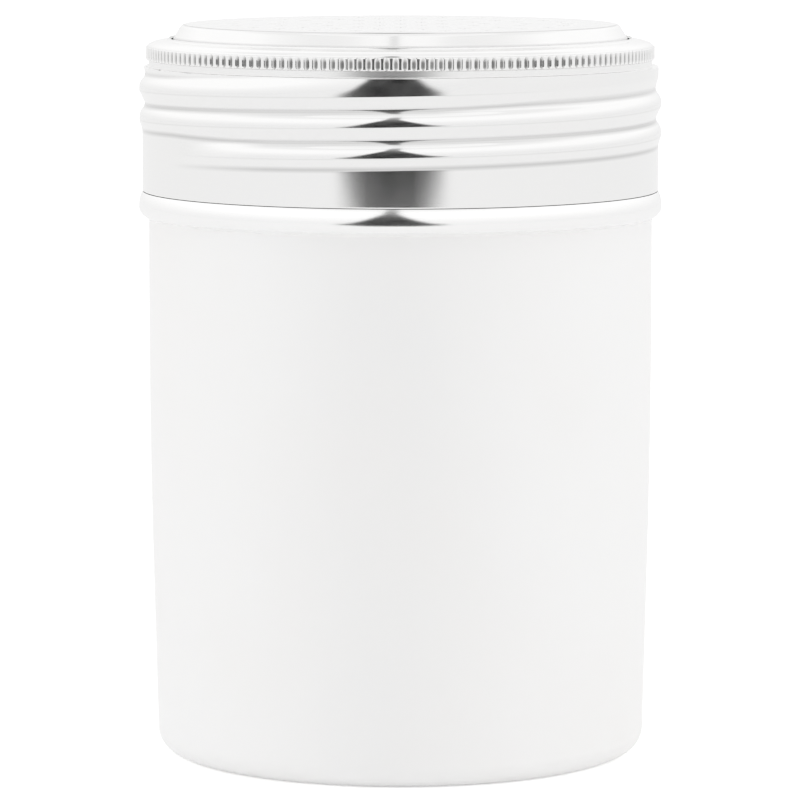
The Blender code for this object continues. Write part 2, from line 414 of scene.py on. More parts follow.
@dataclass(frozen=True)
class Profile:
    """Outlines in sections through the axis, as places (radius, height)."""

    @staticmethod
    def arc(centre: Place, size: float, start: float, end: float, count: int) -> Row:
        """Places on an arc.

        Args:
            centre: its centre.
            size: its radius.
            start: first angle in degrees, from the radius towards the height.
            end: last angle in degrees.
            count: number of lengths.

        Returns:
            The places.
        """
        angles = [math.radians(start + (end - start) * index / count) for index in range(count + 1)]
        return [(centre[0] + size * math.cos(a), centre[1] + size * math.sin(a)) for a in angles]

    @staticmethod
    def supported(places: Row, reach: float) -> Row:
        """The outline with places added near the ends of its long straight parts, which then shade as straight.

        Args:
            places: the outline.
            reach: how far from an end a place is added.

        Returns:
            The places.
        """
        made: Row = [places[0]]
        for before, after in zip(places, places[1:]):
            start, end = Vector(before), Vector(after)
            length = (end - start).length
            if length > 3 * reach:
                near = start.lerp(end, reach / length)
                far = start.lerp(end, 1 - reach / length)
                made += [(near.x, near.y), (far.x, far.y)]
            made.append(after)
        return made

    @staticmethod
    def rounded(corners: Sequence[tuple[float, float, float]], count: int = 4) -> Row:
        """An open outline through corners, each rounded by its own length of the sides beside it.

        Args:
            corners: (radius, height, length cut from each side), where 0 keeps the corner.
            count: lengths of each round.

        Returns:
            The places.
        """
        places: Row = []
        for index, (radius, height, cut) in enumerate(corners):
            here = Vector((radius, height))
            if cut == 0:
                places.append((radius, height))
                continue
            before = (Vector(corners[index - 1][:2]) - here).normalized() * cut
            after = (Vector(corners[index + 1][:2]) - here).normalized() * cut
            for step in range(count + 1):
                share = step / count
                point = here + before * (1 - share) ** 2 + after * share**2
                places.append((point.x, point.y))
        return places


@dataclass(frozen=True)
class Lattice:
    """Columns round the axis and levels up it, in which a thread climbs one step a column."""

    columns: int
    base: float
    pitch: float

    def height(self, step: float) -> float:
        """Height of a step."""
        return self.base + step * self.pitch / self.columns

    def steps(self, share: float) -> int:
        """A share of one turn, or of the pitch, as a whole number of steps."""
        return round(share * self.columns)

    def level_rows(self, places: Row) -> list[Row]:
        """A level circle through each place of an outline."""
        return [[place] * (self.columns + 1) for place in places]

    def climbing_rows(
        self, radius_at: Callable[[int, int], float], offsets: Sequence[int], low: int, high: int
    ) -> list[Row]:
        """Rows that climb one pitch in a turn, held between two levels, where they run out into circles.

        Args:
            radius_at: radius at a column and a step.
            offsets: steps above a crest at which a row runs.
            low: lowest step.
            high: highest step.

        Returns:
            The rows, from the lowest up.
        """
        turns = range(low // self.columns - 1, high // self.columns + 2)
        starts = {turn * self.columns + offset for turn in turns for offset in offsets}
        inner = sorted(start for start in starts if low - self.columns < start < high)
        rows = []
        for start in [low - self.columns, *inner, high]:
            places = [min(max(start + column, low), high) for column in range(self.columns + 1)]
            rows.append([(radius_at(column, place), self.height(place)) for column, place in enumerate(places)])
        return rows


@dataclass(frozen=True)
class Sheet:
    """Builds pieces that are pressed from sheet: a surface through rows, made thick inwards."""

    columns: int

    def surface(self, rows: list[Row], cap_first: bool = False, cap_last: bool = False) -> bmesh.types.BMesh:
        """A surface through rows of places, wrapped round the axis and welded where its edges meet.

        Args:
            rows: the rows, so ordered that the outside lies on the right of the way up.
            cap_first: whether the first row is closed with a flat face.
            cap_last: whether the last row is.

        Returns:
            The surface.
        """
        mesh = bmesh.new()
        last = len(rows) - 1
        bmesh.ops.create_grid(mesh, x_segments=self.columns, y_segments=last, size=0.5)
        turns = [math.tau * (column % self.columns) / self.columns for column in range(self.columns + 1)]
        rays = [(math.cos(turn), math.sin(turn)) for turn in turns]
        ends: dict[int, list[bmesh.types.BMVert]] = {0: [], last: []}
        for vertex in mesh.verts:
            column = round((vertex.co.x + 0.5) * self.columns)
            row = round((vertex.co.y + 0.5) * last)
            radius, height = rows[row][column]
            vertex.co = (radius * rays[column][0], radius * rays[column][1], height)
            if row in ends and column < self.columns:
                ends[row].append(vertex)
        bmesh.ops.remove_doubles(mesh, verts=mesh.verts, dist=WELD)
        for row, wanted in ((0, cap_first), (last, cap_last)):
            if wanted:
                self._cap(mesh, rows[row][0])
        bmesh.ops.recalc_face_normals(mesh, faces=mesh.faces)
        return mesh

    @staticmethod
    def _cap(mesh: bmesh.types.BMesh, place: Place) -> None:
        """Closes an open edge with one flat face.

        Args:
            mesh: the surface.
            place: radius and height of the edge.
        """
        radius, height = place
        at_edge = {v for v in mesh.verts if abs(v.co.z - height) < WELD and v.co.xy.length < radius + WELD}
        rim = [edge for edge in mesh.edges if edge.is_boundary and at_edge.issuperset(edge.verts)]
        bmesh.ops.contextual_create(mesh, geom=rim)

    @staticmethod
    def add(
        name: str, mesh: bmesh.types.BMesh, material: bpy.types.Material, thickness: float = 0.0
    ) -> bpy.types.Object:
        """Turns a surface into an object, and makes it thick if it has a thickness.

        Args:
            name: the piece's name.
            mesh: its surface.
            material: its finish.
            thickness: the sheet's thickness, laid inwards.

        Returns:
            The object.
        """
        data = bpy.data.meshes.new(name)
        mesh.to_mesh(data)
        mesh.free()
        data.materials.append(material)
        data.shade_smooth()
        data.set_sharp_from_angle(angle=SMOOTH_BELOW)
        made = bpy.data.objects.new(name, data)
        bpy.context.scene.collection.objects.link(made)
        if thickness:
            shell = made.modifiers.new("sheet", "SOLIDIFY")
            shell.thickness = thickness
            shell.offset = -1
            shell.use_even_offset = True
        return made


@dataclass
class ThreadForm:
    """Section of the ring's thread over one pitch, in shares of the pitch above a crest."""

    bulge_share: float = 0.51
    bulge_power: float = 3.0
    crest_soft: float = 0.012
    crease_soft: float = 0.13
    crease_reach: float = 0.3
    top_share: float = 0.65
    foot_share: float = 0.67
    foot_soft: float = 0.05
    samples: int = 15
    rows: int = 24

    def raw(self, share: float) -> float:
        """The plain section: a bulge from a crest to the crease, and a straight flank up to the next crest.

        Args:
            share: share of the pitch above a crest.

        Returns:
            1 at a crest and 0 at the crease.
        """
        share %= 1.0
        if share < self.bulge_share:
            return 1 - (share / self.bulge_share) ** self.bulge_power
        return (share - self.bulge_share) / (1 - self.bulge_share)

    def soft(self, share: float) -> float:
        """The same section with a small round at the crest and a wide one in the crease.

        Args:
            share: share of the pitch above a crest.

        Returns:
            1 at a crest and near 0 in the crease.
        """
        spread = self.spread(share, self.bulge_share, self.crease_soft)
        return sum(self.raw(place) for place in spread) / self.samples

    def spread(self, share: float, corner: float, soft: float) -> list[float]:
        """Places whose mean rounds the section: close together at a crest, and wider apart at a corner.

        Args:
            share: the place that they lie round.
            corner: share of the pitch at which the corner lies.
            soft: how far apart they lie there.

        Returns:
            The places.
        """
        half = self.crest_soft + (soft - self.crest_soft) * eased(1 - abs(share - corner) / self.crease_reach)
        return [share + half * (2 * index / (self.samples - 1) - 1) for index in range(self.samples)]

    def top(self, share: float) -> float:
        """The bulge above the topmost crest where no crease ends it: it leans in evenly."""
        return max(0.0, 1 - (share / self.top_share) ** self.bulge_power)

    def foot(self, share: float) -> float:
        """The flank below the lowest crest.

        Args:
            share: share of the pitch above the crest that would be the next one down.

        Returns:
            1 at the lowest crest and 0 from the flank's foot down.
        """
        total = 0.0
        for place in self.spread(share, self.foot_share, self.foot_soft):
            flank = max(0.0, (place - self.foot_share) / (1 - self.foot_share))
            total += self.raw(place) if place >= 1 else flank
        return total / self.samples

    def offsets(self, lattice: Lattice) -> list[int]:
        """Steps at which rows run: evenly spaced, and close together at the crest.

        Args:
            lattice: the thread's lattice.

        Returns:
            The steps.
        """
        even = [index / self.rows for index in range(self.rows)]
        crest = [self.crest_soft * part for part in (-2, -1, -0.5, 0.5, 1, 2)]
        return sorted({lattice.steps(share % 1.0) for share in [*even, *crest]})


@dataclass
class Sizes:
    """Sizes shared by the pieces. Those that the frame gives are read from its boxes."""

    cup_top: float = field(default_factory=lambda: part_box("cup")[1].z)
    bead_radius: float = field(default_factory=lambda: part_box("cup")[1].x)
    ring_low: float = field(default_factory=lambda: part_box("lid_ring")[0].z)
    ring_high: float = field(default_factory=lambda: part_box("lid_ring")[1].z)
    flange_low: float = field(default_factory=lambda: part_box("shaker_screen")[0].z)
    flange_radius: float = field(default_factory=lambda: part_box("shaker_screen")[1].x)
    crown_top: float = field(default_factory=lambda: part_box("shaker_screen")[1].z)
    gap: float = 0.0003
    skirt_radius: float = 0.03465
    ring_sheet: float = 0.0004
    cup_sheet: float = 0.0005
    pitch: float = 0.00395
    thread_turns: float = 2.27
    start_turn: float = 0.854
    fade_turn: float = 0.083
    margin_share: float = 0.458
    skirt_height: float = 0.00398
    thread_rise: float = 0.0004
    thread_sink: float = 0.0005

    def lattice(self, columns: int) -> Lattice:
        """The thread's lattice, whose step 0 lies on a crest at column 0.

        Args:
            columns: columns round the axis.

        Returns:
            The lattice.
        """
        lattice = Lattice(columns, 0.0, self.pitch)
        end = lattice.steps(self.start_turn) - lattice.steps(self.thread_turns)
        low = end - lattice.steps(self.margin_share)
        base = self.ring_low + self.skirt_height - low * self.pitch / columns
        return Lattice(columns, base, self.pitch)

    def ledge(self, lattice: Lattice) -> float:
        """Height at which the threaded part ends and the recess begins."""
        return lattice.height(lattice.steps(self.start_turn) + lattice.steps(self.margin_share))

    def fade(self, lattice: Lattice, position: float, low: float, high: float) -> float:
        """How much of a thread is there at a position along it.

        Args:
            lattice: the thread's lattice.
            position: the position, in steps.
            low: position of the thread's lower end.
            high: position of its upper end.

        Returns:
            1 along the thread, easing to 0 over its last part at either end.
        """
        length = self.fade_turn * lattice.columns
        return eased((position - low) / length) * eased((high - position) / length)


@dataclass
class Cup:
    """The drawn cup: foot, tapered body, rolled bead, threaded neck and turned-in lip."""

    sizes: Sizes
    columns: int = 240
    body_radius: float = 0.03385
    taper: float = 0.00095
    body_height: float = 0.07214
    taper_height: float = 0.042
    corner: float = 0.0028
    foot_width: float = 0.003
    panel_recess: float = 0.0008
    panel_slope: float = 0.0014
    panel_round: float = 0.0006
    taper_round: float = 0.016
    bead_foot_round: float = 0.0002
    bead_foot_out: float = 0.35
    bead_foot_up: float = 0.12
    bead_flank: float = 0.00144
    bead_flank_power: float = 2.2
    bead_flank_shares: tuple[float, ...] = (0.75, 0.6, 0.45, 0.3, 0.15, 0.06, 0.0)
    bead_round_power: float = 2.5
    bead_rounds: int = 14
    shelf_gap: float = 0.00008
    lip_width: float = 0.0018
    lip_round: float = 0.0008
    lip_radius: float = 0.03305
    lip_bend: Place = (0.0002, 0.0009)
    neck_turns: float = 1.75
    neck_lag: float = 0.104
    neck_lift_share: float = 0.0625
    neck_crest_share: float = 0.0833
    neck_foot_share: float = 0.25
    neck_margin_share: float = 0.0625
    neck_play: float = 0.0004
    neck_round: float = 0.0004
    ridge_parts: tuple[float, ...] = (-1, -0.83, -0.66, -0.5, -0.33, 0, 0.33, 0.5, 0.66, 0.83, 1)

    def outline(self) -> Row:
        """The outside below the neck, from the underside's panel up to the bead's shelf.

        Returns:
            The outline.
        """
        base_radius = self.body_radius - self.taper
        corner_radius = base_radius - self.corner
        foot = corner_radius - self.foot_width
        places = Profile.rounded([(foot - 3 * self.panel_slope, self.panel_recess, 0.0),
                                  (foot - self.panel_slope, self.panel_recess, self.panel_round),
                                  (foot, 0.0, self.panel_round),
                                  (corner_radius, 0.0, 0.0)], 5)[:-1]
        places += Profile.arc((corner_radius, self.corner), self.corner, -90, 0, 14)
        places += Profile.rounded([(base_radius, self.corner, 0.0),
                                   (self.body_radius, self.taper_height, self.taper_round),
                                   (self.body_radius, self.body_height, 0.0)], 10)[1:-1]
        edge = self.body_height + self.bead_flank
        shelf = self.sizes.ring_low - self.shelf_gap
        proud = self.sizes.bead_radius - self.body_radius
        places += Profile.rounded([(self.body_radius, self.body_height - 10 * self.bead_foot_round, 0.0),
                                   (self.body_radius, self.body_height, self.bead_foot_round),
                                   (self.body_radius + self.bead_foot_out * proud,
                                    self.body_height + self.bead_foot_up * self.bead_flank, 0.0)])
        for share in self.bead_flank_shares:
            fallen = (share / (1 - self.bead_foot_up)) ** self.bead_flank_power
            bulge = 1 - (1 - self.bead_foot_out) * fallen
            places.append((self.body_radius + proud * bulge, edge - share * self.bead_flank))
        width = self.sizes.bead_radius - self.sizes.skirt_radius
        for index in range(1, self.bead_rounds + 1):
            share = index / self.bead_rounds
            inward = width * share**self.bead_round_power
            places.append((self.sizes.bead_radius - inward, edge + (shelf - edge) * share))
        return places

    def neck_root(self) -> float:
        """Radius of the neck between the turns of its ridge."""
        sizes = self.sizes
        return sizes.skirt_radius - sizes.thread_sink - sizes.ring_sheet - self.neck_play

    def neck_radius(self, lattice: Lattice, column: int, step: int) -> float:
        """Radius of the neck, whose ridge lies inside the ring's thread with play all round.

        Args:
            lattice: the thread's lattice.
            column: column of the place.
            step: step of the place.

        Returns:
            The radius.
        """
        sizes = self.sizes
        crest_radius = sizes.skirt_radius - sizes.ring_sheet - sizes.gap
        root_radius = self.neck_root()
        half = lattice.columns // 2
        lift = lattice.steps(self.neck_lift_share)
        off_ridge = (step - column - lift + half) % lattice.columns - half
        foot = self.neck_foot_share * lattice.columns
        crest = self.neck_crest_share * lattice.columns
        shape = eased((foot - abs(off_ridge)) / (foot - crest))
        start = lattice.steps(sizes.start_turn) - lattice.steps(self.neck_lag)
        strength = sizes.fade(lattice, step - lift - off_ridge, start - lattice.steps(self.neck_turns), start)
        return root_radius + (crest_radius - root_radius) * strength * shape

    def build(self, material: bpy.types.Material) -> bpy.types.Object:
        """Builds the cup.

        Args:
            material: its finish.

        Returns:
            The cup.
        """
        sizes = self.sizes
        lattice = sizes.lattice(self.columns)
        outline = self.outline()
        rows = lattice.level_rows(Profile.supported(outline, WIDE_SUPPORT))
        lift = lattice.steps(self.neck_lift_share)
        foot = lattice.steps(self.neck_foot_share)
        start = lattice.steps(sizes.start_turn) - lattice.steps(self.neck_lag)
        margin = lattice.steps(self.neck_margin_share)
        low = start - lattice.steps(self.neck_turns) + lift - foot - margin
        high = start + lift + foot + margin
        root = self.neck_root()
        shelf = sizes.ring_low - self.shelf_gap
        neck = Profile.rounded([(sizes.skirt_radius, shelf, 0.0),
                                (root, shelf, self.neck_round),
                                (root, lattice.height(low), 0.0)])[1:-1]
        rows += lattice.level_rows(neck)
        ridge = [lift + lattice.steps(self.neck_foot_share * part) for part in self.ridge_parts]
        rows += lattice.climbing_rows(partial(self.neck_radius, lattice), ridge, low, high)
        mouth = sizes.cup_top
        neck_top = lattice.height(high)
        bend_low, bend_high = self.lip_bend
        top = Profile.rounded([(root, neck_top, 0.0),
                               (root, neck_top + bend_low, bend_low / 2),
                               (self.lip_radius, neck_top + bend_high, bend_low),
                               (self.lip_radius, mouth - self.lip_round, 0.0)], 3)[1:-1]
        top += Profile.arc((self.lip_radius - self.lip_round, mouth - self.lip_round), self.lip_round, 0, 90, 8)
        top.append((self.lip_radius - self.lip_width, mouth))
        rows += lattice.level_rows(Profile.supported(top, CLOSE_SUPPORT))
        sheet = Sheet(self.columns)
        cup = sheet.add("cup_sheet", sheet.surface(rows, cap_first=True), material, sizes.cup_sheet)
        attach(cup, Body.CUP.value)
        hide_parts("cup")
        return cup


@dataclass
class ScrewRing:
    """The screw ring: plain skirt, rolled thread, recess, knurled band, shoulder and collar."""

    sizes: Sizes
    form: ThreadForm = field(default_factory=ThreadForm)
    columns: int = 288
    recess_height: float = 0.00093
    recess_radius: float = 0.03375
    recess_round: float = 0.00012
    edge: float = 0.00008
    band_radius: float = 0.0339
    band_step: float = 0.0001
    band_round: float = 0.00003
    knurl_height: float = 0.0018
    knurl_teeth: int = 184
    knurl_depth: float = 0.0003
    knurl_proud: float = 0.0002
    knurl_edge: float = 0.00012
    knurl_levels: int = 16
    tooth_columns: int = 12
    knurl_end: float = 0.06
    knurl_uneven: float = 0.13
    uneven_turn: float = 2.4
    uneven_swing: float = 1.7
    uneven_drift: float = 0.9
    flute_low: float = 0.07
    flute_high: float = 0.93
    flute_foot: float = 0.16
    flute_head: float = 0.3
    flute_half: float = 0.36
    shoulder_rise: float = 0.0008
    shoulder_width: float = 0.00275
    shoulder_rounds: int = 10
    collar_fillet: float = 0.0002
    side_reach: float = 0.16
    swell: float = 0.0003
    swell_turn: float = 0.76
    swell_half: float = 0.11
    sink_start: float = 0.56
    sink_end: float = 0.74

    def thread_radius(self, lattice: Lattice, column: int, step: int) -> float:
        """Radius of the ring's wall in its threaded part.

        Args:
            lattice: the thread's lattice.
            column: column of the place.
            step: step of the place.

        Returns:
            The radius.
        """
        sizes = self.sizes
        turn = lattice.columns
        share = ((step - column) % turn) / turn
        below = step - (step - column) % turn
        above = below + turn
        start = lattice.steps(sizes.start_turn)
        end = start - lattice.steps(sizes.thread_turns)
        ease = eased((self.sink_end - below / turn) / (self.sink_end - self.sink_start))
        shape = self.form.soft(share)
        shape += (1 - ease) * (self.form.top(share) - shape)
        upper = held((share - self.form.bulge_share) / self.side_reach + 0.5) * ease
        crest = sizes.fade(lattice, below, end, start) * (1 - upper)
        crest += sizes.fade(lattice, above, end, start) * upper
        doubled = sizes.fade(lattice, above, end + turn, start + 2 * turn)
        footed = (1 - doubled) * min(share / self.form.crease_reach, 1.0)
        risen = shape + footed * (self.form.foot(share) - shape)
        radius = sizes.skirt_radius + sizes.thread_rise * crest * risen
        radius -= sizes.thread_sink * doubled * ease * (1 - shape)
        if above > start:
            off = abs(below / turn - self.swell_turn) / self.swell_half
            radius += self.swell * max(0.0, 1 - off * off) * (1 - shape)
        return radius

    def build(self, material: bpy.types.Material, knurl_material: bpy.types.Material) -> list[bpy.types.Object]:
        """Builds the ring and its knurled band.

        Args:
            material: the ring's finish.
            knurl_material: the band's.

        Returns:
            The ring and the band.
        """
        sizes = self.sizes
        lattice = sizes.lattice(self.columns)
        start = lattice.steps(sizes.start_turn)
        low = start - lattice.steps(sizes.thread_turns) - lattice.steps(sizes.margin_share)
        high = start + lattice.steps(sizes.margin_share)
        outline = Profile.rounded([(sizes.skirt_radius - self.edge, sizes.ring_low, 0.0),
                                   (sizes.skirt_radius, sizes.ring_low, self.edge / 2),
                                   (sizes.skirt_radius, lattice.height(low), 0.0)])
        rows = lattice.level_rows(Profile.supported(outline, WIDE_SUPPORT)[:-1])
        offsets = self.form.offsets(lattice)
        rows += lattice.climbing_rows(partial(self.thread_radius, lattice), offsets, low, high)
        ledge = sizes.ledge(lattice)
        knurl_low = ledge + self.recess_height
        knurl_high = knurl_low + self.knurl_height
        collar = self.band_radius - self.shoulder_width
        top = Profile.rounded([(sizes.skirt_radius, ledge, 0.0),
                               (self.recess_radius, ledge + self.edge / 2, self.recess_round),
                               (self.recess_radius, knurl_high - self.band_step, self.band_round),
                               (self.band_radius, knurl_high, 0.0)])[1:]
        for index in range(1, self.shoulder_rounds):
            angle = math.radians(90) * index / self.shoulder_rounds
            rise = self.shoulder_rise * math.sin(angle)
            top.append((collar + self.shoulder_width * math.cos(angle), knurl_high + rise))
        top += Profile.arc((collar + self.collar_fillet, knurl_high + self.shoulder_rise + self.collar_fillet),
                           self.collar_fillet, 270, 180, 5)
        top += [(collar, sizes.ring_high - self.edge), (collar - self.edge, sizes.ring_high)]
        rows += lattice.level_rows(Profile.supported(top, CLOSE_SUPPORT))
        sheet = Sheet(self.columns)
        ring = sheet.add("ring_sheet", sheet.surface(rows), material, sizes.ring_sheet)
        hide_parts("lid_ring")
        band = self.knurl(knurl_low, knurl_high, knurl_material)
        for piece in (ring, band):
            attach(piece, Body.RING.value)
        return [ring, band]

    def knurl(self, low: float, high: float, material: bpy.types.Material) -> bpy.types.Object:
        """The knurled band: upright flutes side by side, each with rounded ends.

        Args:
            low: height of the band's lower edge.
            high: height of its upper edge.
            material: its finish.

        Returns:
            The band.
        """
        columns = self.knurl_teeth * self.tooth_columns
        tip = self.band_radius + self.knurl_proud
        inner = self.recess_radius - self.sizes.ring_sheet / 2
        rows: list[Row] = [[(inner, low)] * (columns + 1)]
        for index in range(self.knurl_levels + 1):
            level = index / self.knurl_levels
            foot = held((level - self.flute_low) / self.flute_foot)
            head = held((self.flute_high - level) / self.flute_head)
            depth = self.knurl_depth * (foot * head) ** 0.5
            edge = max(0.0, 1 - min(level, 1 - level) / self.knurl_end) ** 2 * self.knurl_edge
            flutes = [tip - edge - depth * self.flute(column) for column in range(columns + 1)]
            rows.append([(radius, low + (high - low) * level) for radius in flutes])
        rows.append([(inner, high)] * (columns + 1))
        rows.append([(inner, low)] * (columns + 1))
        sheet = Sheet(columns)
        return sheet.add("ring_knurl", sheet.surface(rows), material)

    def flute(self, column: int) -> float:
        """Share of a flute's depth at a column.

        Args:
            column: the column.

        Returns:
            About 1 in the flute's middle, and 0 on the land between two.
        """
        off = abs((column % self.tooth_columns) / self.tooth_columns - 0.5) / self.flute_half
        tooth = (column // self.tooth_columns) % self.knurl_teeth
        wave = math.sin(self.uneven_turn * tooth + self.uneven_swing * math.sin(self.uneven_drift * tooth))
        uneven = 1 - self.knurl_uneven * (0.5 + 0.5 * wave)
        return uneven * (0.5 + 0.5 * math.cos(math.pi * off)) if off < 1 else 0.0


@dataclass
class ShakerScreen:
    """The perforated screen: a flange under the ring's shoulder and a crown that stands up through it."""

    sizes: Sizes
    columns: int = 240
    sheet: float = 0.0004
    crown_radius: float = 0.03045
    crown_round: float = 0.0004
    wall_low: float = 0.0006
    wall_high: float = 0.0001
    flat_radius: float = 0.0289
    sharp_above: float = math.radians(10)
    rim_step: float = 0.00004
    foot_round: float = 0.0004
    hole_radius: float = 0.00125
    hole_edge: float = 0.00014
    hole_margin: float = 0.00645
    hole_rings: int = 4
    hole_sides: int = 40

    def outline(self) -> Row:
        """The outside, from the flange over its foot and the sloping crown to the flat top's edge.

        Returns:
            The outline.
        """
        sizes = self.sizes
        flange_top = sizes.flange_low + self.sheet
        top = sizes.crown_top - self.rim_step
        slope = Profile.rounded([(self.crown_radius, sizes.ring_high - self.wall_low, 0.0),
                                 (self.crown_radius, sizes.ring_high - self.wall_high, self.wall_high),
                                 (self.flat_radius + self.crown_round, top, self.crown_round),
                                 (self.flat_radius - self.crown_round, top, 0.0)], 12)[:-1]
        places: Row = [(sizes.flange_radius, flange_top)]
        foot_centre = (self.crown_radius + self.foot_round, flange_top + self.foot_round)
        places += Profile.arc(foot_centre, self.foot_round, 270, 180, 5)
        places += slope
        places += [(self.flat_radius, top), (self.flat_radius, sizes.crown_top)]
        return places

    def build(self, material: bpy.types.Material) -> bpy.types.Object:
        """Builds the screen and punches its holes.

        Args:
            material: its finish.

        Returns:
            The screen.
        """
        sizes = self.sizes
        lattice = sizes.lattice(self.columns)
        rows = lattice.level_rows(Profile.supported(self.outline(), WIDE_SUPPORT))
        sheet = Sheet(self.columns)
        screen = sheet.add("screen_sheet", sheet.surface(rows, cap_last=True), material, self.sheet)
        self.punch(screen)
        screen.data.set_sharp_from_angle(angle=self.sharp_above)
        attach(screen, Body.SCREEN.value)
        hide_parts("shaker_screen")
        return screen

    def punch(self, screen: bpy.types.Object) -> None:
        """Cuts the holes, with rounded rims, through the crown's flat top, and keeps the result as the mesh.

        Args:
            screen: the screen.
        """
        top = self.sizes.crown_top
        rim = Profile.arc((self.hole_radius + self.hole_edge, top - self.hole_edge), self.hole_edge, 180, 90, 4)
        rows = [(self.hole_radius, top - 3 * self.sheet), *rim]
        rows.append((self.hole_radius + self.hole_edge, top + self.sheet))
        circles = [[place] * (self.hole_sides + 1) for place in rows]
        tool = Sheet(self.hole_sides).surface(circles, cap_first=True, cap_last=True)
        pattern = bmesh.new()
        data = bpy.data.meshes.new("punch")
        tool.to_mesh(data)
        tool.free()
        for ring in range(self.hole_rings + 1):
            count = max(1, 6 * ring)
            radius = (self.flat_radius - self.hole_margin) * ring / self.hole_rings
            for index in range(count):
                angle = math.tau * index / count
                first = len(pattern.verts)
                pattern.from_mesh(data)
                pattern.verts.ensure_lookup_table()
                move = Vector((radius * math.cos(angle), radius * math.sin(angle), 0))
                bmesh.ops.translate(pattern, vec=move, verts=pattern.verts[first:])
        pattern.to_mesh(data)
        pattern.free()
        punches = bpy.data.objects.new("punches", data)
        bpy.context.scene.collection.objects.link(punches)
        cut = screen.modifiers.new("holes", "BOOLEAN")
        cut.operation = "DIFFERENCE"
        cut.solver = "EXACT"
        cut.object = punches
        evaluated = screen.evaluated_get(bpy.context.evaluated_depsgraph_get())
        punched = bpy.data.meshes.new_from_object(evaluated)
        screen.modifiers.clear()
        screen.data = punched
        bpy.data.objects.remove(punches)


